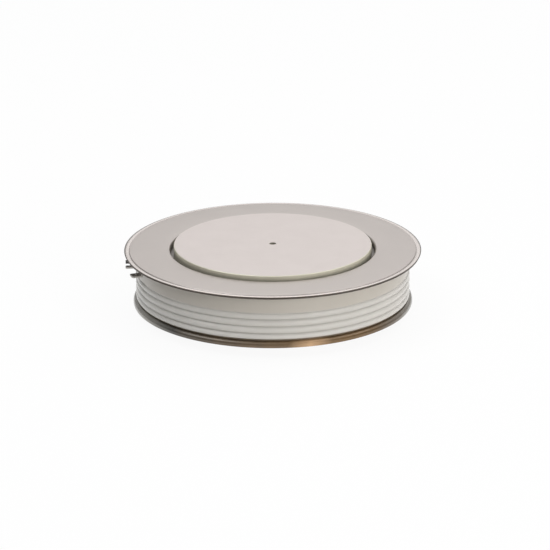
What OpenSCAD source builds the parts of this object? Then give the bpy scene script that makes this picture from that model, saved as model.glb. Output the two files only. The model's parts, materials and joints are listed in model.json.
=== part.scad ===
// Disc thyristor in a ceramic press-pack capsule.
// Millimetres, +Z up. The lower contact face lies on Z = 0 and the gate leaves toward -X.

/* [Capsule] */
// Height over both contact faces
total_height = 35; // [34:0.5:45]
// Diameter of the two contact faces
pole_d = 100; // [80:1:130]
// Chamfer round the contact faces
face_chamfer = 0.3; // [0.2:0.1:1]
// Height of the upper contact face above the cover
cathode_proud = 1.85; // [1:0.05:3]
// How far the welded rim stands out past the ceramic's ribs
rim_overhang = 5.6; // [4.5:0.1:10]

/* [Centring holes] */
// Diameter of the hole in the middle of each contact face
hole_d = 3.5; // [2:0.1:6]
// Depth of each hole
hole_depth = 4; // [2:0.5:5]

/* [Cover] */
// Thickness of the cover sheet
cover_t = 0.55; // [0.5:0.05:0.8]
// Clear width of the groove between the upper pole and the cover
groove_w = 1.8; // [1.4:0.1:4]
// Depth of that groove below the cover
groove_depth = 3.5; // [2.6:0.1:5]
// Inside radius of the folds in the cover
fold_r = 0.5; // [0.3:0.1:0.8]
// How far the sheet sinks toward the groove
dish_drop = 0.15; // [0.05:0.05:0.3]
// Width of that slope
dish_w = 3.6; // [2:0.2:6]
// Width of the pressed band along the rim
press_w = 2.4; // [1.5:0.1:2.6]
// Depth of the pressed band below the cover, at its crown
press_depth = 0.2; // [0.1:0.05:0.2]
// Radius of the band's crown
crown_r = 3.5; // [3.5:0.1:8]
// Width of the sloped shoulder inside the pressed band
shoulder_w = 5; // [2:0.2:6]
// Drop over that shoulder
shoulder_drop = 0.05; // [0.05:0.05:0.1]

/* [Weld ring] */
// Thickness of the weld ring
ring_t = 1; // [0.6:0.1:1.4]
// How far the weld ring's edge stands back from the cover's edge
ring_setback = 0.3; // [0.1:0.1:1]

/* [Ceramic] */
// Wall from the bore to the ribs' crests
ceramic_wall = 7.4; // [6:0.2:12]
// Number of ribs
rib_count = 4; // [1:1:4]
// Distance from rib to rib
rib_pitch = 3.6; // [3.3:0.1:3.8]
// Radius of a rib's rounding
rib_r = 1.9; // [1.7:0.1:2.2]
// Depth of the grooves between ribs
rib_depth = 1; // [0.6:0.1:1.2]
// Depth of the plain band below the ribs' crests
band_inset = 0.5; // [0.2:0.1:0.9]
// Rounding at the band's lower edge
band_round = 1.2; // [0.8:0.1:1.6]
// Height of the narrow foot that stands on the lower flange
foot_h = 0.8; // [0.4:0.1:1.2]
// Depth of the foot below the ribs' crests
foot_inset = 1.2; // [0.8:0.1:3]
// Rounding under the lowest rib
foot_round = 0.7; // [0.3:0.1:0.8]
// Height of the lowest rib's middle above the flange
first_rib = 1.6; // [1.5:0.1:2]

/* [Lower flange] */
// Sheet thickness
flange_t = 1; // [0.8:0.1:1.4]
// How far the lip stands out past the ceramic's ribs
lip_overhang = 1.4; // [0.6:0.1:3]
// Height of the lip's lower edge above the lower contact face
lip_clear = 5.2; // [3:0.2:8]
// Height of the lip
lip_h = 3.1; // [2.4:0.1:4]
// Outside rounding of the lip
lip_round = 2; // [1.6:0.1:2.2]

/* [Wafer stack] */
// Height of the lower pole
anode_pole_h = 14; // [12:0.5:15]
// Thickness of the lower molybdenum disc
anode_moly_t = 3; // [2:0.5:4]
// How far that disc stands out past the pole
moly_overhang = 4; // [2:0.5:5]
// Thickness of the silicon wafer
wafer_t = 1.5; // [0.8:0.1:2]
// How far the wafer stands out past the lower disc
wafer_overhang = 3; // [2:0.5:4]
// Width of the bevel on the wafer's edge
wafer_bevel = 1.4; // [0.6:0.1:1.8]
// Thickness of the upper molybdenum disc
cathode_moly_t = 2; // [1:0.5:3]
// Wall of the silicone ring outside the wafer
edge_wall = 1.6; // [0.8:0.1:2]
// Reach of the silicone ring above and below the wafer
edge_reach = 1.4; // [0.8:0.1:1.8]
// Wall of the ring that centres the upper pole
centring_wall = 2; // [1:0.1:2.4]
// Reach of that ring up the pole
centring_reach = 2.5; // [2:0.1:4]
// Wall of the ring that centres the wafer in the ceramic
locating_wall = 3; // [1.5:0.1:5]
// Clearance of the plastic rings
ring_gap = 0.2; // [0.1:0.05:0.4]

/* [Gate] */
// Direction of the gate, in degrees from +X
gate_angle = 180; // [0:5:355]
// Drop of the gate tube's axis below the weld ring
gate_drop = 4.5; // [3:0.1:6]
// Outside diameter of the gate tube
tube_d = 2.6; // [2:0.1:3]
// Length of the pinched end
pinch_l = 2.6; // [2:0.1:3]
// Thickness of the pinched end
pinch_t = 0.9; // [0.6:0.1:1.2]
// Diameter of the gate wire
lead_d = 1.2; // [0.8:0.1:1.4]
// Radius of the wire's two bends
lead_bend_r = 3; // [2:0.2:3.4]
// Wall of the insulating sleeve
sleeve_wall = 0.45; // [0.3:0.05:0.6]
// Clearance round the wire in its sleeve and in the tube
lead_gap = 0.05; // [0.02:0.01:0.1]
// Diameter of the pocket for the gate contact
pocket_d = 12; // [11:0.5:16]
// Copper left between the pocket and the centring hole
pocket_web = 1.5; // [1:0.1:2]
// Wall of the insulating bush
bush_wall = 2.1; // [1.2:0.1:2.1]
// Clearance of the bush in its pocket and of the pin in the bush
bush_gap = 0.1; // [0.05:0.05:0.2]
// Diameter of the gate pin's tip
pin_tip_d = 3; // [2:0.1:4]
// Wire diameter of the gate spring
spring_wire = 0.6; // [0.4:0.05:0.7]
// Turns of the gate spring
spring_turns = 4.5; // [3.5:0.5:5]

/* [Terminals] */
// Sheet thickness of both plug-on tabs
tab_t = 0.8; // [0.5:0.1:1]
// Width of the gate tab
gate_tab_w = 2.8; // [2.2:0.1:3.4]
// Offset of the gate tab to the side of its tube
gate_tab_side = 3.2; // [2.6:0.1:6]
// Reach of the gate tab past the rim
gate_tab_reach = -0.5; // [-1:0.1:6]
// Width of the auxiliary cathode tab
aux_tab_w = 4.8; // [3.8:0.1:6.4]
// Reach of the auxiliary cathode tab past the rim
aux_tab_reach = 0; // [-1:0.1:8]
// Drop of the auxiliary cathode tab below the weld ring
aux_tab_drop = 4.4; // [3:0.1:6]
// Angle from the gate to the auxiliary cathode tab
aux_tab_angle = 16.4; // [10:0.2:60]
// Diameter of the hole in each tab
tab_hole_d = 1.4; // [1:0.1:1.8]

/* [Hidden] */
$fn = 96;
eps = 0.01;
pole_r = pole_d / 2;
// The stack, from the poles outward and upward
moly_r = pole_r + moly_overhang;
wafer_r = moly_r + wafer_overhang;
edge_r = wafer_r + edge_wall;
edge_in_r = wafer_r - wafer_bevel - 1.2;
locating_in_r = edge_r + ring_gap;
locating_out_r = locating_in_r + locating_wall;
centring_in_r = pole_r + ring_gap;
centring_out_r = centring_in_r + centring_wall;
z_wafer = anode_pole_h + anode_moly_t;
z_moly = z_wafer + wafer_t;
z_pole = z_moly + cathode_moly_t;
z_locating = z_moly + edge_reach;
// The shell's radii and levels
bore_r = locating_out_r + ring_gap;
crest_r = bore_r + ceramic_wall;
rim_r = crest_r + rim_overhang;
lip_r = crest_r + lip_overhang;
z_cover = total_height - cathode_proud;
z_ring = z_cover - cover_t;
z_ceramic_top = z_ring - ring_t;
z_flange = lip_clear + lip_h;
// The folded inner edge of the cover
fold_out = fold_r + cover_t;
leg_r = pole_r + groove_w;
z_fold_floor = z_cover - groove_depth;
ledge_r = leg_r + cover_t - 0.4;
ledge_h = 1.5;
z_ledge = z_fold_floor - cover_t;
press_r = rim_r - press_w;
lip_top_r = leg_r + fold_out;
z_lip = z_cover - dish_drop;
crown_mid_r = rim_r - press_w * 0.54;
z_crown = z_cover - press_depth;
z_crease = z_crown - crown_r + sqrt(crown_r * crown_r - (crown_mid_r - press_r) * (crown_mid_r - press_r));
// The ceramic
root_r = crest_r - rib_depth;
band_r = crest_r - band_inset;
foot_r = crest_r - foot_inset;
rib_mid_r = crest_r - rib_r;
z_rib = z_flange + first_rib;
z_band = z_rib + (rib_count - 1) * rib_pitch + rib_pitch * 0.67;
z_foot_top = z_flange + foot_h;
// The middle of the rounding under the lowest rib, which runs into the rib's own rounding
foot_dz = z_foot_top + foot_round - z_rib;
foot_mid_r = rib_mid_r + sqrt((rib_r - foot_round) * (rib_r - foot_round) - foot_dz * foot_dz);
ring_in_r = bore_r + 0.5;
ring_out_r = rim_r - ring_setback;
// The gate contact
pocket_r = pocket_d / 2;
z_pocket = total_height - hole_depth - pocket_web;
bush_r = pocket_r - bush_gap;
bush_in_r = bush_r - bush_wall;
bush_roof = 1.2;
z_bush = z_moly + 0.4;
collar_r = bush_in_r - bush_gap;
collar_gap = 0.1;
z_collar = z_pole + collar_gap;
lead_r = lead_d / 2;
sleeve_in_r = lead_r + lead_gap;
sleeve_r = sleeve_in_r + sleeve_wall;
sleeve_lift = 0.2;
z_lead = z_pole + sleeve_r + sleeve_lift;
collar_h = z_lead + lead_r + 0.6 - z_collar;
z_spring = z_collar + collar_h;
washer_t = 0.4;
z_washer = z_pocket - bush_roof - washer_t;
spring_l = z_washer - z_spring;
spring_mid_r = collar_r - spring_wire / 2 - 0.2;
stem_r = spring_mid_r - spring_wire / 2 - 0.3;
stem_l = spring_l * 0.55;
lead_seat = 2;
slot_gap = 0.2;
slot_w = 2 * (sleeve_r + slot_gap);
slot_h = 2 * sleeve_r + sleeve_lift + 0.5;
// The gate tube and the bent wire
tube_r = tube_d / 2;
tube_in_r = lead_r + lead_gap;
z_tube = z_ceramic_top - gate_drop;
tube_start = bore_r - 1;
tube_end = band_r + 2.9;
pinch_w = 3.2;
lead_x0 = centring_out_r + 0.4;
lead_x1 = tube_start - 0.6;
lead_run = lead_x1 - lead_x0;
lead_rise = z_tube - z_lead;
lead_far = sqrt(lead_run * lead_run + (2 * lead_bend_r - lead_rise) * (2 * lead_bend_r - lead_rise));
lead_a = asin(2 * lead_bend_r / lead_far) - atan2(2 * lead_bend_r - lead_rise, lead_run);
lead_slant = (lead_run - 2 * lead_bend_r * sin(lead_a)) / cos(lead_a);
// The terminals
tab_x0 = band_r + 0.7;
tab_collar_l = 2;
tab_collar_r = tube_r + tab_t;
z_tab = z_tube - tab_collar_r;
tab_tip = rim_r + gate_tab_reach;
aux_tip = rim_r + aux_tab_reach;
aux_foot_r = press_r - 0.2;
z_aux = z_ceramic_top - aux_tab_drop - tab_t;
tip_chamfer = 0.6;

// A rectangle between two corners in the section plane
module block(r0, z0, r1, z1) {
    translate([r0, z0])
        square([r1 - r0, z1 - z0]);
}

// A quarter of a bent sheet, with its middle at (r, z) and its corner toward (sr, sz)
module fold(r, z, inner, outer, sr, sz) {
    translate([r, z])
        intersection() {
            difference() {
                circle(r = outer);
                circle(r = inner);
            }
            translate([sr > 0 ? 0 : -outer, sz > 0 ? 0 : -outer])
                square([outer, outer]);
        }
}

// Things on the gate's side, drawn along +X
module gate_side() {
    rotate([0, 0, gate_angle])
        children();
}

// A round bar or hole along +X
module bar(x0, x1, z, r) {
    translate([x0, 0, z])
        rotate([0, 90, 0])
            cylinder(r = r, h = x1 - x0);
}

// Half section of a pole with a chamfered contact face at the top
module pole_section(z0, z1) {
    polygon([
        [0, z0],
        [pole_r, z0],
        [pole_r, z1 - face_chamfer],
        [pole_r - face_chamfer, z1],
        [0, z1]
    ]);
}

// The upper pole: contact face, ledge for the cover, gate pocket and wire slot
module cathode_pole() {
    color([0.80, 0.77, 0.75])
        difference() {
            rotate_extrude()
                union() {
                    pole_section(z_pole, total_height);
                    block(0, z_ledge - ledge_h, ledge_r, z_ledge);
                }
            translate([0, 0, total_height - hole_depth])
                cylinder(d = hole_d, h = hole_depth + 1);
            translate([0, 0, z_pole - 1])
                cylinder(r = pocket_r, h = z_pocket - z_pole + 1);
            gate_side()
                translate([0, -slot_w / 2, z_pole - 1])
                    cube([pole_r + 1, slot_w, slot_h + 1]);
        }
}

// The cover: sheet that sinks to the folded groove round the pole, sloped shoulder and crowned rim
module cathode_cover() {
    color([0.72, 0.70, 0.68])
        rotate_extrude()
            union() {
                block(pole_r, z_ledge, leg_r - fold_r, z_fold_floor);
                fold(leg_r - fold_r, z_fold_floor + fold_r, fold_r, fold_out, 1, -1);
                block(leg_r, z_fold_floor + fold_r, leg_r + cover_t, z_lip - fold_out);
                fold(lip_top_r, z_lip - fold_out, fold_r, fold_out, -1, 1);
                polygon([
                    [lip_top_r, z_lip - cover_t],
                    [lip_top_r + dish_w, z_ring],
                    [press_r, z_ring],
                    [press_r, z_crease],
                    [press_r - 0.2, z_cover - shoulder_drop],
                    [press_r - shoulder_w, z_cover],
                    [lip_top_r + dish_w, z_cover],
                    [lip_top_r, z_lip]
                ]);
                intersection() {
                    block(press_r, z_ring, rim_r, z_cover);
                    translate([crown_mid_r, z_crown - crown_r])
                        circle(r = crown_r);
                }
            }
}

// The ring that is brazed on the ceramic and welded to the cover
module weld_ring() {
    color([0.70, 0.67, 0.63])
        rotate_extrude()
            union() {
                block(ring_in_r, z_ceramic_top, ring_out_r - ring_t / 2, z_ring);
                translate([ring_out_r - ring_t / 2, z_ceramic_top + ring_t / 2])
                    circle(d = ring_t);
            }
}

// Half section of the ceramic: narrow foot, round ribs and plain band
module ceramic_section() {
    difference() {
        union() {
            block(bore_r, z_foot_top, root_r, z_ceramic_top);
            block(bore_r, z_band, band_r, z_ceramic_top);
            translate([band_r - band_round, z_band])
                circle(r = band_round);
            for (i = [0 : rib_count - 1])
                translate([rib_mid_r, z_rib + i * rib_pitch])
                    circle(r = rib_r);
        }
        block(bore_r - 1, z_foot_top - 4, crest_r + 1, z_foot_top + foot_round);
    }
    block(bore_r, z_foot_top, foot_mid_r, z_foot_top + foot_round + eps);
    translate([foot_mid_r, z_foot_top + foot_round])
        circle(r = foot_round);
    block(bore_r, z_flange, foot_r, z_foot_top + eps);
}

// The ceramic wall with the bore for the gate tube
module ceramic_ring() {
    color([0.86, 0.83, 0.79])
        difference() {
            rotate_extrude()
                ceramic_section();
            gate_side()
                bar(bore_r - 2, crest_r + 2, z_tube, tube_r);
        }
}

// The drawn flange: neck on the pole, flat seat for the ceramic and rounded lip
module anode_flange() {
    neck_r = pole_r + flange_t;
    inner = 0.6;
    color([0.55, 0.46, 0.36])
        rotate_extrude()
            union() {
                block(pole_r, lip_clear, neck_r, z_flange - flange_t - inner);
                fold(neck_r + inner, z_flange - flange_t - inner, inner, inner + flange_t, -1, 1);
                block(neck_r + inner, z_flange - flange_t, lip_r - lip_round, z_flange);
                fold(lip_r - lip_round, z_flange - lip_round, lip_round - flange_t, lip_round, 1, 1);
                block(lip_r - flange_t, lip_clear + flange_t / 2, lip_r, z_flange - lip_round);
                translate([lip_r - flange_t / 2, lip_clear + flange_t / 2])
                    circle(d = flange_t);
            }
}

// The lower pole, with its contact face on Z = 0
module anode_pole() {
    color([0.80, 0.77, 0.75])
        difference() {
            rotate_extrude()
                translate([0, anode_pole_h])
                    mirror([0, 1])
                        pole_section(0, anode_pole_h);
            translate([0, 0, -1])
                cylinder(d = hole_d, h = hole_depth + 1);
        }
}

// The tube through the ceramic, with its outer end pinched shut
module gate_tube() {
    flat_x = tube_end + 1.2;
    color([0.45, 0.43, 0.40])
        gate_side()
            union() {
                difference() {
                    bar(tube_start, tube_end, z_tube, tube_r);
                    bar(tube_start - 1, tube_end - 0.8, z_tube, tube_in_r);
                }
                hull() {
                    bar(tube_end - eps, tube_end, z_tube, tube_r);
                    translate([flat_x, -pinch_w / 2, z_tube - pinch_t / 2])
                        cube([eps, pinch_w, pinch_t]);
                }
                translate([flat_x, -pinch_w / 2, z_tube - pinch_t / 2])
                    cube([pinch_l - 1.2, pinch_w, pinch_t]);
            }
}

// The gate's plug-on tab, held by a collar on the tube
module gate_tab() {
    blade_y0 = gate_tab_side - gate_tab_w / 2;
    blade_y1 = gate_tab_side + gate_tab_w / 2;
    color([0.62, 0.60, 0.56])
        gate_side()
            difference() {
                union() {
                    bar(tab_x0, tab_x0 + tab_collar_l, z_tube, tab_collar_r);
                    translate([0, 0, z_tab])
                        linear_extrude(height = tab_t)
                            polygon([
                                [tab_x0, -0.6],
                                [tab_x0 + tab_collar_l, -0.6],
                                [tab_x0 + tab_collar_l, blade_y0],
                                [tab_tip - tip_chamfer, blade_y0],
                                [tab_tip, blade_y0 + tip_chamfer],
                                [tab_tip, blade_y1 - tip_chamfer],
                                [tab_tip - tip_chamfer, blade_y1],
                                [tab_x0, blade_y1]
                            ]);
                }
                bar(tab_x0 - 1, tab_x0 + tab_collar_l + 1, z_tube, tube_r);
                translate([tab_tip - 1.8, gate_tab_side, z_tab - 1])
                    cylinder(d = tab_hole_d, h = tab_t + 2);
            }
}

// The second plug-on tab: foot on the weld ring, leg past the ceramic and blade
module auxiliary_cathode_tab() {
    half_w = aux_tab_w / 2;
    color([0.68, 0.66, 0.62])
        rotate([0, 0, gate_angle + aux_tab_angle])
            difference() {
                union() {
                    translate([tab_x0, -half_w, z_ceramic_top - tab_t])
                        cube([aux_foot_r - tab_x0, aux_tab_w, tab_t]);
                    translate([tab_x0, -half_w, z_aux])
                        cube([tab_t, aux_tab_w, z_ceramic_top - z_aux]);
                    translate([0, 0, z_aux])
                        linear_extrude(height = tab_t)
                            polygon([
                                [tab_x0, -half_w],
                                [aux_tip - tip_chamfer, -half_w],
                                [aux_tip, tip_chamfer - half_w],
                                [aux_tip, half_w - tip_chamfer],
                                [aux_tip - tip_chamfer, half_w],
                                [tab_x0, half_w]
                            ]);
                }
                translate([aux_tip - 2.4, 0, z_aux - 1])
                    cylinder(d = tab_hole_d, h = tab_t + 2);
            }
}

// The carrier disc under the wafer
module anode_molybdenum_disc() {
    color([0.62, 0.63, 0.66])
        translate([0, 0, anode_pole_h])
            cylinder(r = moly_r, h = anode_moly_t);
}

// The wafer, bevelled on its upper edge
module silicon_wafer() {
    color([0.30, 0.31, 0.36])
        rotate_extrude()
            translate([0, z_wafer])
                polygon([
                    [0, 0],
                    [wafer_r, 0],
                    [wafer_r, wafer_t * 0.4],
                    [wafer_r - wafer_bevel, wafer_t],
                    [0, wafer_t]
                ]);
}

// The silicone ring moulded over the wafer's edge
module wafer_edge_ring() {
    color([0.75, 0.72, 0.66])
        rotate_extrude()
            difference() {
                union() {
                    block(moly_r, z_wafer - edge_reach, edge_r, z_moly);
                    block(edge_in_r, z_moly - wafer_t / 2, edge_r, z_moly + edge_reach);
                }
                translate([0, z_wafer])
                    polygon([
                        [0, 0],
                        [wafer_r, 0],
                        [wafer_r, wafer_t * 0.4],
                        [wafer_r - wafer_bevel, wafer_t],
                        [0, wafer_t]
                    ]);
            }
}

// The disc between the wafer and the upper pole
module cathode_molybdenum_disc() {
    color([0.62, 0.63, 0.66])
        translate([0, 0, z_moly])
            difference() {
                cylinder(r = pole_r, h = cathode_moly_t);
                translate([0, 0, -1])
                    cylinder(r = pocket_r, h = cathode_moly_t + 2);
            }
}

// The plastic ring that centres the wafer in the ceramic
module wafer_locating_ring() {
    color([0.90, 0.90, 0.88])
        rotate_extrude()
            block(locating_in_r, z_flange, locating_out_r, z_locating);
}

// The plastic ring that centres the upper pole on its disc, with a gap for the gate wire
module pole_centring_ring() {
    color([0.90, 0.90, 0.88])
        difference() {
            rotate_extrude()
                block(centring_in_r, z_moly, centring_out_r, z_pole + centring_reach);
            gate_side()
                translate([pole_r - 2, -slot_w / 2, z_pole])
                    cube([centring_wall + 6, slot_w, centring_reach + 2]);
        }
}

// The contact pin: tip on the wafer, collar that takes the wire and stem inside the spring
module gate_pin() {
    color([0.78, 0.68, 0.42])
        difference() {
            union() {
                translate([0, 0, z_moly])
                    cylinder(d = pin_tip_d, h = z_collar - z_moly + eps);
                translate([0, 0, z_collar])
                    cylinder(r = collar_r, h = collar_h);
                translate([0, 0, z_spring - eps])
                    cylinder(r = stem_r, h = stem_l);
            }
            gate_side()
                bar(collar_r - lead_seat, collar_r + 2, z_lead, lead_r);
        }
}

// The coil spring, with close turns at both ends
spring_sides = 8;
spring_steps = 24;
spring_n = round(spring_turns * spring_steps);
spring_end_turns = 0.75;
spring_end_pitch = spring_wire * 1.06;
spring_ends_l = 2 * spring_end_turns * spring_end_pitch;
spring_pitch = (spring_l - spring_wire - spring_ends_l) / (spring_turns - 2 * spring_end_turns);

function spring_lift(t) =
    t < spring_end_turns ? t * spring_end_pitch :
    t > spring_turns - spring_end_turns ?
        spring_l - spring_wire - (spring_turns - t) * spring_end_pitch :
    spring_end_turns * spring_end_pitch + (t - spring_end_turns) * spring_pitch;

function spring_point(i, j) =
    let (
        t = i / spring_steps,
        out = spring_mid_r + spring_wire / 2 * cos(j * 360 / spring_sides),
        up = spring_wire / 2 * (1 + sin(j * 360 / spring_sides))
    )
    [out * cos(t * 360), out * sin(t * 360), z_spring + spring_lift(t) + up];

// Faces of a swept round bar with n sections of s points
function sweep_faces(n, s) = concat(
    [
        for (i = [0 : n - 2])
            for (j = [0 : s - 1])
                [i * s + j, (i + 1) * s + j, (i + 1) * s + (j + 1) % s, i * s + (j + 1) % s]
    ],
    [[for (j = [0 : s - 1]) j]],
    [[for (j = [0 : s - 1]) n * s - 1 - j]]
);

module gate_spring() {
    points = [
        for (i = [0 : spring_n])
            for (j = [0 : spring_sides - 1])
                spring_point(i, j)
    ];
    color([0.60, 0.61, 0.62])
        polyhedron(points = points, faces = sweep_faces(spring_n + 1, spring_sides), convexity = 8);
}

// The washer that the spring bears on
module gate_spring_washer() {
    color([0.60, 0.61, 0.62])
        translate([0, 0, z_washer])
            difference() {
                cylinder(r = collar_r, h = washer_t);
                translate([0, 0, -1])
                    cylinder(r = stem_r, h = washer_t + 2);
            }
}

// The insulating cup that guides the pin, slotted for the wire
module gate_bush() {
    slot = lead_d + 0.4;
    color([0.92, 0.91, 0.88])
        difference() {
            translate([0, 0, z_bush])
                cylinder(r = bush_r, h = z_pocket - z_bush);
            translate([0, 0, z_bush - 1])
                cylinder(r = bush_in_r, h = z_pocket - bush_roof - z_bush + 1);
            gate_side()
                translate([0, -slot / 2, z_bush - 1])
                    cube([pocket_r + 1, slot, z_lead + lead_r + 0.4 - z_bush + 1]);
        }
}

// The gate wire: from the pin through the pole's slot, up in two bends and into the tube
lead_sides = 24;
bend_steps = 10;
lead_top_x = lead_x0 + 2 * lead_bend_r * sin(lead_a) + lead_slant * cos(lead_a);
lead_path = concat(
    [[collar_r - lead_seat, z_lead, 0]],
    [
        for (i = [0 : bend_steps])
            let (a = lead_a * i / bend_steps)
            [lead_x0 + lead_bend_r * sin(a), z_lead + lead_bend_r * (1 - cos(a)), a]
    ],
    [
        for (i = [0 : bend_steps])
            let (a = lead_a * (1 - i / bend_steps))
            [lead_top_x - lead_bend_r * sin(a), z_tube - lead_bend_r * (1 - cos(a)), a]
    ],
    [[tube_end - 0.8, z_tube, 0]]
);

function lead_point(p, t) = [
    p[0] - lead_r * sin(t) * sin(p[2]),
    -lead_r * cos(t),
    p[1] + lead_r * sin(t) * cos(p[2])
];

module gate_lead() {
    points = [
        for (p = lead_path)
            for (j = [0 : lead_sides - 1])
                lead_point(p, j * 360 / lead_sides)
    ];
    color([0.82, 0.80, 0.76])
        gate_side()
            polyhedron(points = points, faces = sweep_faces(len(lead_path), lead_sides), convexity = 4);
}

// The sleeve on the wire inside the pole's slot
module gate_lead_sleeve() {
    color([0.92, 0.91, 0.88])
        gate_side()
            difference() {
                bar(pocket_r + 0.3, pole_r, z_lead, sleeve_r);
                bar(pocket_r - 1, pole_r + 1, z_lead, sleeve_in_r);
            }
}

cathode_pole();
cathode_cover();
weld_ring();
ceramic_ring();
anode_flange();
anode_pole();
gate_tube();
gate_tab();
auxiliary_cathode_tab();
anode_molybdenum_disc();
silicon_wafer();
wafer_edge_ring();
cathode_molybdenum_disc();
wafer_locating_ring();
pole_centring_ring();
gate_pin();
gate_spring();
gate_spring_washer();
gate_bush();
gate_lead();
gate_lead_sleeve();
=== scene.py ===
"""Looks of the disc thyristor: materials, finely turned pieces, floor, light and camera."""

import json
import math

import bmesh
import bpy
from mathutils import Matrix, Vector


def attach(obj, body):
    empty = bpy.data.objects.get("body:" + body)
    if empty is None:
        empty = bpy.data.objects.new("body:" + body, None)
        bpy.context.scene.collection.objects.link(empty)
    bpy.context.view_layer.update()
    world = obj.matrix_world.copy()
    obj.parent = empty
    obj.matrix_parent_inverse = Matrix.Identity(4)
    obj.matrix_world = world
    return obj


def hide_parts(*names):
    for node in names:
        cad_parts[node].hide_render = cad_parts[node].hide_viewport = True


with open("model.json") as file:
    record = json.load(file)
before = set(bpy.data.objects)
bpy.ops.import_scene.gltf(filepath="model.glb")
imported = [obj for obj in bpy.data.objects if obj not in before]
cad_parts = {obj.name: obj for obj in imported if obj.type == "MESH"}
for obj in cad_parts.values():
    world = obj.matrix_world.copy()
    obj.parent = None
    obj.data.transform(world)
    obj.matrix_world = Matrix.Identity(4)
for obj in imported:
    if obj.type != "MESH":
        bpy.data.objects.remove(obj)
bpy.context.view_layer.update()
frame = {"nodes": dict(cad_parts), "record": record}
nodes = frame["nodes"]

# A millimetre in metres
MM = 0.001

# Sizes of the seen pieces in millimetres, as in the CAD source
TOTAL_HEIGHT = 35.0
POLE_R = 50.0
HOLE_R = 1.75
CATHODE_PROUD = 1.85
RIM_OVERHANG = 5.6
COVER_T = 0.55
GROOVE_W = 1.8
GROOVE_DEPTH = 3.5
FOLD_R = 0.5
DISH_DROP = 0.15
DISH_W = 3.6
PRESS_W = 2.4
PRESS_DEPTH = 0.2
CROWN_R = 3.5
CROWN_SHIFT = 0.54
RING_T = 1.0
RING_SETBACK = 0.3
RING_INSET = 0.5
BORE_R = 62.0
CERAMIC_WALL = 7.4
RIB_COUNT = 4
RIB_PITCH = 3.6
RIB_R = 1.9
RIB_DEPTH = 1.0
FIRST_RIB = 1.6
BAND_INSET = 0.5
BAND_ROUND = 1.2
BAND_LIFT = 0.67
FOOT_H = 0.8
FOOT_INSET = 1.2
FOOT_ROUND = 0.7
FLANGE_T = 1.0
NECK_ROUND = 0.6
LIP_OVERHANG = 1.4
LIP_CLEAR = 5.2
LIP_H = 3.1
LIP_ROUND = 2.0
TUBE_R = 1.3
GATE_DROP = 4.5

# Radii and heights that follow from the sizes
CREST_R = BORE_R + CERAMIC_WALL
RIM_R = CREST_R + RIM_OVERHANG
LIP_R = CREST_R + LIP_OVERHANG
Z_COVER = TOTAL_HEIGHT - CATHODE_PROUD
Z_RING = Z_COVER - COVER_T
Z_CERAMIC_TOP = Z_RING - RING_T
Z_FLANGE = LIP_CLEAR + LIP_H
FOLD_OUT = FOLD_R + COVER_T
LEG_R = POLE_R + GROOVE_W
Z_FOLD_FLOOR = Z_COVER - GROOVE_DEPTH
FOLD_TOP_R = LEG_R + FOLD_OUT
DISH_R = FOLD_TOP_R + DISH_W
PRESS_R = RIM_R - PRESS_W
CROWN_MID_R = RIM_R - PRESS_W * CROWN_SHIFT
RING_OUT_R = RIM_R - RING_SETBACK
ROOT_R = CREST_R - RIB_DEPTH
BAND_R = CREST_R - BAND_INSET
FOOT_R = CREST_R - FOOT_INSET
RIB_MID_R = CREST_R - RIB_R
Z_RIB = Z_FLANGE + FIRST_RIB
Z_TOP_RIB = Z_RIB + (RIB_COUNT - 1) * RIB_PITCH
Z_BAND = Z_TOP_RIB + RIB_PITCH * BAND_LIFT
Z_FOOT_TOP = Z_FLANGE + FOOT_H
Z_TUBE = Z_CERAMIC_TOP - GATE_DROP

# Where a noise's values begin and end in practice
NOISE_LOW = 0.3
NOISE_HIGH = 0.7

# Colour sockets of a Mix node
MIX_A = 6
MIX_B = 7
MIX_OUT = 2


def add_node(tree, kind, **props):
    """A new node with its properties set."""
    node = tree.nodes.new(kind)
    for key, value in props.items():
        setattr(node, key, value)
    return node


def feed(tree, socket, value):
    """Sets an input to a number or a colour, or links another node's output to it."""
    if isinstance(value, (int, float)):
        socket.default_value = value
    elif isinstance(value, tuple):
        socket.default_value = (*value, 1.0)
    else:
        tree.links.new(value, socket)


def mix_colours(tree, factor, a, b, blend="MIX"):
    node = add_node(tree, "ShaderNodeMix", data_type="RGBA", blend_type=blend)
    feed(tree, node.inputs["Factor"], factor)
    feed(tree, node.inputs[MIX_A], a)
    feed(tree, node.inputs[MIX_B], b)
    return node.outputs[MIX_OUT]


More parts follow.
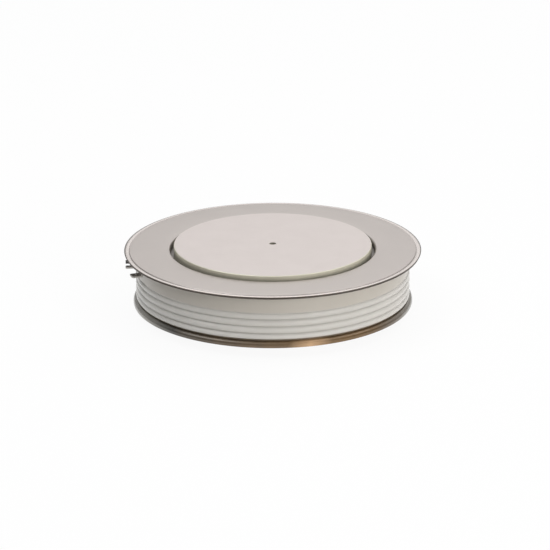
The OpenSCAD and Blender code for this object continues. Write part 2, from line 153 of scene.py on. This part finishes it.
# Materials
class Shade:
    """A small builder for one procedural material on a Principled surface."""

    def __init__(self, name, metal=0.0):
        self.mat = bpy.data.materials.new(name)
        self.mat.use_nodes = True
        self.tree = self.mat.node_tree
        self.bsdf = self.tree.nodes["Principled BSDF"]
        self.set("Metallic", metal)
        self.coord = add_node(self.tree, "ShaderNodeTexCoord").outputs["Object"]

    def set(self, name, value):
        """Gives one input of the surface a value or a node's output."""
        feed(self.tree, self.bsdf.inputs[name], value)

    def noise(self, scale, detail, rough=0.5):
        node = add_node(self.tree, "ShaderNodeTexNoise")
        feed(self.tree, node.inputs["Vector"], self.coord)
        feed(self.tree, node.inputs["Scale"], scale)
        feed(self.tree, node.inputs["Detail"], detail)
        feed(self.tree, node.inputs["Roughness"], rough)
        return node.outputs["Fac"]

    def ramp(self, factor, stops):
        node = add_node(self.tree, "ShaderNodeValToRGB")
        elements = node.color_ramp.elements
        while len(elements) < len(stops):
            elements.new(0.5)
        for element, (position, colour) in zip(elements, stops):
            element.position = position
            element.color = (*colour, 1.0)
        feed(self.tree, node.inputs["Fac"], factor)
        return node.outputs["Color"]

    def tones(self, noise, dark, light):
        """Two colours that drift into each other with a noise."""
        return self.ramp(noise, [(NOISE_LOW, dark), (NOISE_HIGH, light)])

    def remap(self, value, a, b, lo, hi):
        node = add_node(self.tree, "ShaderNodeMapRange")
        feed(self.tree, node.inputs["Value"], value)
        feed(self.tree, node.inputs["From Min"], a)
        feed(self.tree, node.inputs["From Max"], b)
        feed(self.tree, node.inputs["To Min"], lo)
        feed(self.tree, node.inputs["To Max"], hi)
        return node.outputs["Result"]

    def spread(self, noise, lo, hi):
        """A noise stretched over a range."""
        return self.remap(noise, NOISE_LOW, NOISE_HIGH, lo, hi)

    def fade(self, place, start, end, lo, hi):
        """Runs from lo to hi between two places in millimetres."""
        return self.remap(place, start * MM, end * MM, lo, hi)

    def calc(self, operation, a, b=None):
        node = add_node(self.tree, "ShaderNodeMath", operation=operation)
        feed(self.tree, node.inputs[0], a)
        if b is not None:
            feed(self.tree, node.inputs[1], b)
        return node.outputs[0]

    def mix(self, factor, a, b):
        return mix_colours(self.tree, factor, a, b)

    def multiply(self, a, b):
        return mix_colours(self.tree, 1.0, a, b, "MULTIPLY")

    def place(self):
        """X, radius from the axis and height, in metres."""
        split = add_node(self.tree, "ShaderNodeSeparateXYZ")
        feed(self.tree, split.inputs[0], self.coord)
        x, y, z = split.outputs
        squares = self.calc("ADD", self.calc("MULTIPLY", x, x), self.calc("MULTIPLY", y, y))
        return x, self.calc("SQRT", squares), z

    def upward(self):
        """How far the surface faces up, from -1 to 1."""
        geometry = add_node(self.tree, "ShaderNodeNewGeometry")
        split = add_node(self.tree, "ShaderNodeSeparateXYZ")
        feed(self.tree, split.inputs[0], geometry.outputs["Normal"])
        return split.outputs["Z"]

    def distance(self, point):
        """Distance in metres from a point given in millimetres."""
        node = add_node(self.tree, "ShaderNodeVectorMath", operation="DISTANCE")
        feed(self.tree, node.inputs[0], self.coord)
        node.inputs[1].default_value = [v * MM for v in point]
        return node.outputs["Value"]

    def bump(self, height, strength, depth):
        """Relief of a depth in millimetres."""
        node = add_node(self.tree, "ShaderNodeBump")
        feed(self.tree, node.inputs["Height"], height)
        feed(self.tree, node.inputs["Strength"], strength)
        feed(self.tree, node.inputs["Distance"], depth * MM)
        self.set("Normal", node.outputs["Normal"])


def nickel_pole():
    s = Shade("nickel_pole")
    _, r, z = s.place()
    patches = s.noise(90.0, 4.0, 0.6)
    grain = s.noise(4200.0, 2.0, 0.6)
    face = s.tones(patches, (0.655, 0.597, 0.573), (0.675, 0.617, 0.593))
    # The side walls and the chamfer take a golden tone by the way they face: a painted reflection
    wall_reflection = s.tones(patches, (0.69, 0.66, 0.54), (0.75, 0.72, 0.59))
    # Painted shade low on the wall, in the groove and under the flange
    painted_shade = s.fade(z, Z_RING, TOTAL_HEIGHT - 1.0, 0.74, 1.0)
    level = s.remap(s.upward(), 0.8, 0.95, 0.0, 1.0)
    metal = s.mix(level, s.multiply(wall_reflection, painted_shade), face)
    # Painted shade inside the centring holes
    hole_shade = s.fade(r, HOLE_R - 0.1, HOLE_R + 0.05, 0.04, 1.0)
    s.set("Base Color", s.multiply(metal, hole_shade))
    s.set("Metallic", s.remap(level, 0.0, 1.0, 0.5, 0.85))
    s.set("Roughness", s.spread(grain, 0.46, 0.58))
    s.bump(grain, 0.25, 0.04)
    return s.mat


def nickel_sheet():
    s = Shade("nickel_sheet", metal=0.9)
    _, r, z = s.place()
    patches = s.noise(60.0, 5.0, 0.6)
    grain = s.noise(3600.0, 2.0, 0.55)
    sheet = s.tones(patches, (0.485, 0.442, 0.417), (0.52, 0.476, 0.45))
    # Painted highlight on the burnished crown, painted shade along the rim's edge, and painted shade
    # down in the groove
    crown_burnish_and_highlight = s.fade(r, PRESS_R - 0.06, PRESS_R + 0.02, 0.0, 1.0)
    # Painted shade along the rim's edge
    edge_shade = s.fade(r, RIM_R - 0.55, RIM_R - 0.35, 0.0, 0.9)
    # Painted shade, darker down in the groove
    painted_shade = s.fade(z, Z_FOLD_FLOOR + 0.85, Z_RING, 0.42, 1.0)
    sheet = s.mix(crown_burnish_and_highlight, sheet, (0.63, 0.575, 0.545))
    sheet = s.mix(edge_shade, sheet, (0.12, 0.10, 0.085))
    s.set("Base Color", s.multiply(sheet, painted_shade))
    dull = s.spread(patches, 0.36, 0.44)
    s.set("Roughness", s.calc("SUBTRACT", dull, s.calc("MULTIPLY", crown_burnish_and_highlight, 0.2)))
    s.bump(grain, 0.18, 0.03)
    return s.mat


def ring_metal():
    s = Shade("ring_metal", metal=0.8)
    patches = s.noise(140.0, 4.0, 0.6)
    # Near black: painted shade for the ring's edge and underside beneath the rim
    s.set("Base Color", s.tones(patches, (0.085, 0.07, 0.06), (0.13, 0.11, 0.095)))
    s.set("Roughness", s.spread(patches, 0.45, 0.6))
    s.bump(s.noise(3000.0, 2.0), 0.2, 0.04)
    return s.mat


def ceramic():
    s = Shade("ceramic")
    _, r, z = s.place()
    cloud = s.noise(45.0, 4.0, 0.55)
    speck = s.noise(2600.0, 2.0)
    # White glaze on the ribs, painted shade in the grooves, and a darker, warmer plain band painted as
    # the shade and warm bounce under the rim
    ribs = s.tones(cloud, (0.66, 0.637, 0.602), (0.69, 0.667, 0.632))
    groove_shade = s.fade(r, ROOT_R + 0.05, CREST_R - 0.2, 0.80, 1.0)
    # The plain band's darker, warmer tone is painted shade and warm bounce light
    shaded_band = s.tones(cloud, (0.56, 0.52, 0.465), (0.59, 0.55, 0.495))
    on_band = s.fade(z, Z_TOP_RIB + 1.5, Z_TOP_RIB + 2.2, 0.0, 1.0)
    glaze = s.mix(on_band, s.multiply(ribs, groove_shade), shaded_band)
    # Bare at the brazed foot, painted dark brown as the shade in the slot above the flange
    glazed = s.fade(z, Z_FOOT_TOP - 0.2, Z_FOOT_TOP + 0.4, 0.0, 1.0)
    s.set("Base Color", s.mix(glazed, (0.24, 0.19, 0.13), glaze))
    s.set("Roughness", s.spread(cloud, 0.30, 0.40))
    s.set("Coat Weight", 0.35)
    s.set("Coat Roughness", 0.18)
    s.bump(s.calc("ADD", s.calc("MULTIPLY", speck, 0.3), cloud), 0.15, 0.1)
    return s.mat


def copper_sheet():
    s = Shade("copper_sheet", metal=0.75)
    x, _, _ = s.place()
    cloud = s.noise(70.0, 5.0, 0.6)
    grain = s.noise(2500.0, 2.0)
    brown = s.ramp(
        cloud,
        [(0.3, (0.155, 0.091, 0.035)), (0.55, (0.215, 0.126, 0.049)), (0.75, (0.275, 0.163, 0.067))],
    )
    # Painted light on the copper: dark grey on the shaded left, a painted sheen palest at both ends,
    # and brown copper toward the right where the warm key falls
    grey = s.tones(cloud, (0.064, 0.06, 0.052), (0.094, 0.088, 0.078))
    ends = s.fade(s.calc("ABSOLUTE", x), 52.0, 65.0, 1.0, 3.3)
    ragged = s.calc("ADD", x, s.calc("MULTIPLY", cloud, 30.0 * MM))
    warm_side_begins = s.fade(ragged, -45.0, 30.0, 0.0, 1.0)
    warm_side_ends = s.fade(ragged, 55.0, 80.0, 1.0, 0.1)
    warm_lit_side = s.calc("MULTIPLY", warm_side_begins, warm_side_ends)
    tone = s.mix(warm_lit_side, s.multiply(grey, ends), brown)
    # A painted glint on the lip: a patch of bright copper
    away = s.calc("ADD", s.distance((14.0, -69.0, 6.0)), s.calc("MULTIPLY", cloud, 12.0 * MM))
    painted_glint = s.fade(away, 7.0, 17.0, 0.95, 0.0)
    s.set("Base Color", s.mix(painted_glint, tone, (0.64, 0.41, 0.225)))
    s.set("Coat Weight", 1.0)
    s.set("Coat Roughness", 0.22)
    s.set("Roughness", s.spread(cloud, 0.42, 0.54))
    s.bump(grain, 0.2, 0.03)
    return s.mat


def plain(name, dark, light, rough, metal, scale=800.0):
    """A lightly clouded material for the small and the hidden pieces."""
    s = Shade(name, metal)
    cloud = s.noise(scale, 4.0, 0.55)
    s.set("Base Color", s.tones(cloud, dark, light))
    s.set("Roughness", s.spread(cloud, rough * 0.88, rough * 1.12))
    s.bump(s.noise(scale * 4.0, 2.0), 0.15, 0.03)
    return s.mat


materials = {
    "nickel_pole": nickel_pole(),
    "nickel_sheet": nickel_sheet(),
    "ring_metal": ring_metal(),
    "ceramic": ceramic(),
    "copper_sheet": copper_sheet(),
    "tube_metal": plain("tube_metal", (0.10, 0.095, 0.09), (0.17, 0.16, 0.15), 0.45, 0.9),
    "tab_metal": plain("tab_metal", (0.36, 0.34, 0.31), (0.46, 0.44, 0.41), 0.4, 0.9),
    "molybdenum": plain("molybdenum", (0.36, 0.37, 0.40), (0.44, 0.45, 0.48), 0.35, 1.0, 300.0),
    "silicon": plain("silicon", (0.10, 0.11, 0.15), (0.14, 0.15, 0.19), 0.15, 0.8, 120.0),
    "silicone": plain("silicone", (0.56, 0.52, 0.44), (0.62, 0.58, 0.50), 0.7, 0.0, 300.0),
    "white_plastic": plain("white_plastic", (0.74, 0.74, 0.71), (0.80, 0.80, 0.77), 0.5, 0.0, 300.0),
    "pin_brass": plain("pin_brass", (0.56, 0.43, 0.19), (0.64, 0.50, 0.24), 0.3, 1.0),
    "spring_steel": plain("spring_steel", (0.30, 0.31, 0.32), (0.38, 0.39, 0.40), 0.3, 1.0),
    "silver_wire": plain("silver_wire", (0.66, 0.64, 0.60), (0.74, 0.72, 0.68), 0.25, 1.0),
}

for part in frame["record"]["subparts"]:
    node = nodes[part["node"]]
    node.data.materials.clear()
    node.data.materials.append(materials[part["material_slot"]])


# Turned pieces: the CAD's own sections in millimetres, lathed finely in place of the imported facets
TURNS = 320
# Share of each radius that is kept, so that the lathed rim stays inside the faceted CAD rim
RADIUS_SHARE = 0.9997
# Points of a section closer than this are one point
SAME_POINT = 1e-4
# Edges sharper than this, in degrees, stay sharp
SHARP = 32.0
CERAMIC_SHARP = 40.0


def arc(r, z, radius, start, end, steps=10):
    points = []
    for i in range(steps + 1):
        angle = math.radians(start + (end - start) * i / steps)
        points.append((r + radius * math.cos(angle), z + radius * math.sin(angle)))
    return points


def shifted(r, z, steps):
    """Points given by their steps from one place."""
    return [(r + dr, z + dz) for dr, dz in steps]


def lathe(name, section, node, slot, sharp=SHARP):
    outline = []
    for point in section:
        if not outline or math.dist(point, outline[-1]) > SAME_POINT:
            outline.append(point)
    if math.dist(outline[0], outline[-1]) < SAME_POINT:
        outline.pop()
    count = len(outline)
    verts = []
    faces = []
    for i in range(TURNS):
        angle = 2 * math.pi * i / TURNS
        x = math.cos(angle) * MM * RADIUS_SHARE
        y = math.sin(angle) * MM * RADIUS_SHARE
        verts += [(r * x, r * y, z * MM) for r, z in outline]
    for i in range(TURNS):
        here = i * count
        there = ((i + 1) % TURNS) * count
        for j in range(count):
            k = (j + 1) % count
            faces.append((here + j, there + j, there + k, here + k))
    mesh = bpy.data.meshes.new(name)
    mesh.from_pydata(verts, [], faces)
    bm = bmesh.new()
    bm.from_mesh(mesh)
    bmesh.ops.recalc_face_normals(bm, faces=bm.faces)
    bm.to_mesh(mesh)
    bm.free()
    mesh.polygons.foreach_set("use_smooth", [True] * len(mesh.polygons))
    mesh.set_sharp_from_angle(angle=math.radians(sharp))
    mesh.materials.append(materials[slot])
    obj = bpy.data.objects.new(name, mesh)
    bpy.context.collection.objects.link(obj)
    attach(obj, "root")
    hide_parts(node)
    return obj


def cover_section():
    """Foot, two folds, underside, softened edge, crown, pressed step, dish and back down the folds."""
    foot_fold = (LEG_R - FOLD_R, Z_FOLD_FLOOR + FOLD_R)
    top_fold = (FOLD_TOP_R, Z_COVER - DISH_DROP - FOLD_OUT)
    crown_mid = (CROWN_MID_R, Z_COVER - PRESS_DEPTH - CROWN_R)
    edge = [(-0.03, 0.0), (0.0, 0.02), (0.0, 0.06), (-0.03, 0.10), (-0.09, 0.13)]
    step = [(-0.015, -0.35), (-0.16, -0.10), (-0.23, -0.06), (-0.4, -0.048)]
    shoulder = [(-2.6, -0.025), (-4.4, -0.006), (-5.4, 0.0)]
    dish = [(0.75, 0.0), (-0.05, -0.008), (-0.85, -0.037)]
    edge_w = 0.16
    crown_starts = math.degrees(math.acos((RIM_R - edge_w - CROWN_MID_R) / CROWN_R))
    crown_ends = math.degrees(math.acos((PRESS_R - CROWN_MID_R) / CROWN_R))
    return (
        [(POLE_R, Z_FOLD_FLOOR - COVER_T)]
        + arc(*foot_fold, FOLD_OUT, -90, 0)
        + arc(*top_fold, FOLD_R, 180, 90)
        + [(DISH_R, Z_RING)]
        + shifted(RIM_R, Z_RING, edge)
        + arc(*crown_mid, CROWN_R, crown_starts, crown_ends, 18)
        + shifted(PRESS_R, Z_COVER, step + shoulder)
        + shifted(DISH_R, Z_COVER, dish)
        + arc(*top_fold, FOLD_OUT, 90, 180, 14)
        + arc(*foot_fold, FOLD_R, 0, -90)
        + [(POLE_R, Z_FOLD_FLOOR)]
    )


def ring_section():
    """A flat ring with a round outer edge."""
    inner_r = BORE_R + RING_INSET
    half = RING_T / 2
    edge = arc(RING_OUT_R - half, Z_CERAMIC_TOP + half, half, -90, 90, 14)
    return [(inner_r, Z_CERAMIC_TOP)] + edge + [(inner_r, Z_RING)]


def ceramic_section():
    """Bore, plain band with a rounded lower edge, ribs from the top down, rounded foot."""
    band_chamfer = 0.15
    band_turn = -36.0
    top_rib_turn = 50.0
    groove_turn = 57.0
    foot_dz = Z_FOOT_TOP + FOOT_ROUND - Z_RIB
    foot_dr = math.sqrt((RIB_R - FOOT_ROUND) ** 2 - foot_dz**2)
    foot_turn = math.degrees(math.atan2(foot_dz, foot_dr))
    # Glaze fills the foot of each groove
    under_band = [(-0.265, -0.767), (-0.27, -0.837), (-0.24, -0.902)]
    under_rib = [(0.05, 0.14), (0.01, 0.0), (0.05, -0.14)]
    section = [(BORE_R, Z_FLANGE), (BORE_R, Z_CERAMIC_TOP)]
    section += [(BAND_R - band_chamfer, Z_CERAMIC_TOP), (BAND_R, Z_CERAMIC_TOP - band_chamfer)]
    section += arc(BAND_R - BAND_ROUND, Z_BAND, BAND_ROUND, 0, band_turn, 8)
    section += shifted(BAND_R, Z_BAND, under_band)
    for i in range(RIB_COUNT):
        z = Z_TOP_RIB - RIB_PITCH * i
        is_last = i == RIB_COUNT - 1
        starts = groove_turn if i else top_rib_turn
        ends = foot_turn if is_last else -groove_turn
        section += arc(RIB_MID_R, z, RIB_R, starts, ends, 24)
        if not is_last:
            section += shifted(ROOT_R, z - RIB_PITCH / 2, under_rib)
    section += arc(RIB_MID_R + foot_dr, Z_FOOT_TOP + FOOT_ROUND, FOOT_ROUND, foot_turn, -90, 10)
    return section + [(FOOT_R, Z_FOOT_TOP), (FOOT_R, Z_FLANGE)]


def flange_section():
    """Neck on the pole, flat seat, rounded lip and back."""
    neck_r = POLE_R + FLANGE_T
    neck = (neck_r + NECK_ROUND, Z_FLANGE - FLANGE_T - NECK_ROUND)
    lip = (LIP_R - LIP_ROUND, Z_FLANGE - LIP_ROUND)
    half = FLANGE_T / 2
    return (
        [(POLE_R, LIP_CLEAR), (neck_r, LIP_CLEAR)]
        + arc(*neck, NECK_ROUND, 180, 90)
        + arc(*lip, LIP_ROUND - FLANGE_T, 90, 0)
        + arc(LIP_R - half, LIP_CLEAR + half, half, 180, 360, 14)
        + arc(*lip, LIP_ROUND, 0, 90, 18)
        + arc(*neck, NECK_ROUND + FLANGE_T, 90, 180)
    )


def drill_gate_bore(obj):
    """Cuts the bore for the gate tube through the wall on the -X side."""
    sides = 48
    length = 20.0
    middle = BORE_R + 4.0
    bpy.ops.mesh.primitive_cylinder_add(
        vertices=sides,
        radius=TUBE_R * MM,
        depth=length * MM,
        location=(-middle * MM, 0.0, Z_TUBE * MM),
        rotation=(0.0, math.pi / 2, 0.0),
    )
    cutter = bpy.context.object
    cut = obj.modifiers.new("bore", "BOOLEAN")
    cut.operation = "DIFFERENCE"
    cut.solver = "EXACT"
    cut.object = cutter
    bpy.context.view_layer.objects.active = obj
    bpy.ops.object.modifier_apply(modifier="bore")
    bpy.data.objects.remove(cutter, do_unlink=True)


lathe("cover", cover_section(), "cathode_cover", "nickel_sheet")
lathe("rim_ring", ring_section(), "weld_ring", "ring_metal")
drill_gate_bore(lathe("ceramic", ceramic_section(), "ceramic_ring", "ceramic", CERAMIC_SHARP))
lathe("flange", flange_section(), "anode_flange", "copper_sheet")

# Floor: white to the camera and in reflections, with a soft trace of the object's shadow
FLOOR_SIZE = 8.0
FLOOR_Z = -0.0001
FLOOR_SEEN = (0.92, 0.92, 0.92)
FLOOR_BOUNCE = (0.62, 0.61, 0.59)
GLOW_SHARE = 0.93


def floor_material():
    mat = bpy.data.materials.new("floor")
    mat.use_nodes = True
    tree = mat.node_tree
    tree.nodes.clear()
    path = add_node(tree, "ShaderNodeLightPath")
    seen = 0.0
    for ray in ("Is Camera Ray", "Is Glossy Ray", "Is Transmission Ray"):
        either = add_node(tree, "ShaderNodeMath", operation="MAXIMUM")
        feed(tree, either.inputs[0], seen)
        feed(tree, either.inputs[1], path.outputs[ray])
        seen = either.outputs[0]
    share = add_node(tree, "ShaderNodeMath", operation="MULTIPLY")
    feed(tree, share.inputs[0], seen)
    feed(tree, share.inputs[1], GLOW_SHARE)
    matte = add_node(tree, "ShaderNodeBsdfDiffuse")
    feed(tree, matte.inputs["Color"], mix_colours(tree, seen, FLOOR_BOUNCE, FLOOR_SEEN))
    glow = add_node(tree, "ShaderNodeEmission")
    surface = add_node(tree, "ShaderNodeMixShader")
    feed(tree, surface.inputs["Fac"], share.outputs[0])
    feed(tree, surface.inputs[1], matte.outputs[0])
    feed(tree, surface.inputs[2], glow.outputs[0])
    out = add_node(tree, "ShaderNodeOutputMaterial")
    feed(tree, out.inputs["Surface"], surface.outputs[0])
    return mat


bpy.ops.mesh.primitive_plane_add(size=FLOOR_SIZE, location=(0.0, 0.0, FLOOR_Z))
floor = bpy.context.object
floor.name = "floor"
floor.data.materials.append(floor_material())

# World: dim in front and brighter behind, with a more even studio for reflections
FRONT_LOW = 0.055
FRONT_LOW_MIRRORED = 0.24
FRONT_DOME = 0.18
FRONT_DOME_MIRRORED = 0.28
BACK_LOW = 0.42
BACK_DOME = 0.35

world = bpy.data.worlds.new("studio")
bpy.context.scene.world = world
world.use_nodes = True
sky = world.node_tree
direction = add_node(sky, "ShaderNodeTexCoord").outputs["Generated"]
compass = add_node(sky, "ShaderNodeSeparateXYZ")
feed(sky, compass.inputs[0], direction)


def grey(level):
    return (level, level, level)


def sweep(axis, start, end):
    """A soft change from 0 to 1 along one direction."""
    node = add_node(sky, "ShaderNodeMapRange", interpolation_type="SMOOTHSTEP")
    feed(sky, node.inputs["Value"], compass.outputs[axis])
    feed(sky, node.inputs["From Min"], start)
    feed(sky, node.inputs["From Max"], end)
    return node.outputs[0]


mirrored = add_node(sky, "ShaderNodeLightPath").outputs["Is Glossy Ray"]
behind = sweep("Y", 0.3, 0.85)
low = mix_colours(sky, mirrored, grey(FRONT_LOW), grey(FRONT_LOW_MIRRORED))
low = mix_colours(sky, behind, low, grey(BACK_LOW))
dome = mix_colours(sky, mirrored, grey(FRONT_DOME), grey(FRONT_DOME_MIRRORED))
dome = mix_colours(sky, behind, dome, grey(BACK_DOME))
overhead = sweep("Z", 0.12, 0.70)
feed(sky, sky.nodes["Background"].inputs["Color"], mix_colours(sky, overhead, low, dome))

# Lights, by azimuth from the front toward the right
LAMP_DISTANCE = 1.6
LAMP_AIM = Vector((0.0, 0.0, 0.02))
WHITE = (1.0, 1.0, 1.0)
WARM = (1.0, 0.985, 0.955)


def toward(azimuth, elevation):
    """Unit vector to a place seen at an azimuth and an elevation in radians."""
    return Vector(
        (
            math.sin(azimuth) * math.cos(elevation),
            -math.cos(azimuth) * math.cos(elevation),
            math.sin(elevation),
        )
    )


def area(name, azimuth, elevation, size, watts, tint=WHITE, shine=True):
    away = LAMP_DISTANCE * toward(math.radians(azimuth), math.radians(elevation))
    light = bpy.data.lights.new(name, "AREA")
    light.shape = "DISK"
    light.size = size
    light.energy = watts
    light.color = tint
    lamp = bpy.data.objects.new(name, light)
    lamp.location = LAMP_AIM + away
    lamp.rotation_euler = (-away).to_track_quat("-Z", "Y").to_euler()
    lamp.visible_glossy = shine
    bpy.context.collection.objects.link(lamp)


area("top_front", -16.0, 52.0, 1.3, 2.9, (0.96, 0.98, 1.0))
area("top_left", -78.0, 56.0, 1.1, 8.2, (0.95, 0.98, 1.0))
area("top_right", 78.0, 56.0, 1.1, 5.6)
# The low key is kept out of reflections but for a weak share, so that metal keeps its tone from behind
area("key", 40.0, 10.0, 1.2, 14.0, WARM, shine=False)
area("key_shine", 28.0, 10.0, 1.2, 3.0, WARM)
area("rear_right", 115.0, 35.0, 1.2, 2.2)
area("back", 172.0, 38.0, 1.4, 3.75)
area("back_high", 180.0, 62.0, 1.4, 3.5)

# Camera: solved from the photograph's edges, with the picture taken as 550 by 550
SIDE_PX = 550.0
PX_PER_MM = 1.9777
DISTANCE = 1.30
ELEVATION = math.radians(18.65)
AZIMUTH = math.radians(-3.6)
ROLL = math.radians(-0.23)
SENSOR_MM = 36.0
CLIP_START = 0.05
CLIP_END = 50.0
# A point on the axis near the rim's height, and the pixel it falls on
TARGET = Vector((0.0, 0.0, 0.0329))
TARGET_PX = (272.8, 247.4)

back = toward(AZIMUTH, ELEVATION)
eye = TARGET + DISTANCE * back
focal_px = PX_PER_MM * DISTANCE / MM
yaw = math.atan2(SIDE_PX / 2 - TARGET_PX[0], focal_px)
pitch = math.atan2(SIDE_PX / 2 - TARGET_PX[1], focal_px)
level = (-back).to_track_quat("-Z", "Y").to_matrix()
turn = Matrix.Rotation(-yaw, 3, "Y") @ Matrix.Rotation(-pitch, 3, "X")
roll = Matrix.Rotation(ROLL, 3, "Z")
lens = bpy.data.cameras.new("camera")
lens.sensor_width = SENSOR_MM
lens.lens = focal_px * SENSOR_MM / SIDE_PX
lens.clip_start = CLIP_START
lens.clip_end = CLIP_END
camera = bpy.data.objects.new("camera", lens)
camera.matrix_world = Matrix.Translation(eye) @ (level @ turn @ roll).to_4x4()
bpy.context.collection.objects.link(camera)
bpy.context.scene.camera = camera

bpy.context.scene.view_settings.view_transform = "Standard"
